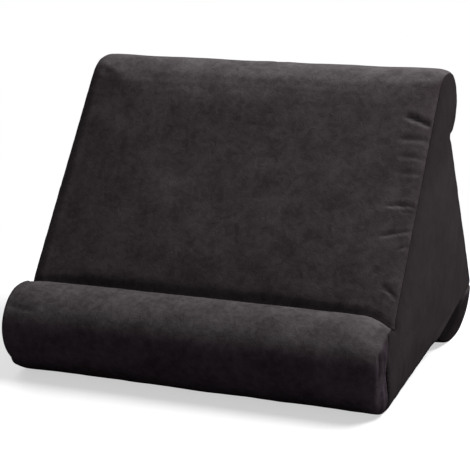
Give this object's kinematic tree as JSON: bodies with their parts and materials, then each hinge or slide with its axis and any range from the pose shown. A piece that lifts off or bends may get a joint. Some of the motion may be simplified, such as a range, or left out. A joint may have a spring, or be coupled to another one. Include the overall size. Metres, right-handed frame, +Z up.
{
  "type": "tablet cushion stand",
  "caption": "Soft wedge cushion that props up a tablet: dark velour cover over foam, a stuffed roll at each corner as a ledge, and a zip across the rear",
  "frame": {"origin": "on the table, in the middle of the cushion's footprint", "axes": "+Z up, +X across the width to the viewer's right, -Y towards the viewer who looks at the tablet"},
  "size_m": [0.288, 0.268, 0.2158],
  "materials": {
    "velour": "short-napped charcoal velour, matt with a soft sheen at grazing angles",
    "foam": "open-cell polyurethane foam",
    "fibre_fill": "loose polyester fibre",
    "lining": "plain woven lining",
    "zip_tape": "black woven tape",
    "zip_teeth": "black moulded plastic",
    "zip_metal": "black enamelled zinc"
  },
  "bodies": {
    "cushion": {"backrest_panel": "velour", "rear_panel": "velour", "base_panel": "velour", "side_panel_left": "velour", "side_panel_right": "velour", "core_wedge": "foam", "top_roll_fill": "fibre_fill", "rear_roll_fill": "fibre_fill", "ledge_roll_fill": "fibre_fill", "top_web": "lining", "rear_web": "lining", "ledge_web": "lining", "zip_tape_upper": "zip_tape", "zip_tape_lower": "zip_tape", "zip_teeth_upper": "zip_teeth", "zip_teeth_lower": "zip_teeth", "zip_stop_open": "zip_teeth", "zip_stop_closed": "zip_teeth"},
    "zip_slider": {"zip_slider": "zip_metal"},
    "zip_pull": {"zip_pull": "zip_metal"}
  },
  "joints": [
    {"name": "zip_slide", "type": "slide", "parent": "cushion", "child": "zip_slider", "axis": [1, 0, 0], "range_m": [-0.2266, 0]},
    {"name": "zip_pull_hinge", "type": "hinge", "parent": "zip_slider", "child": "zip_pull", "pos_m": [0.1133, 0.05567, 0.15709], "axis": [0, 0.549, -0.8358], "range_deg": [0, 180]}
  ]
}
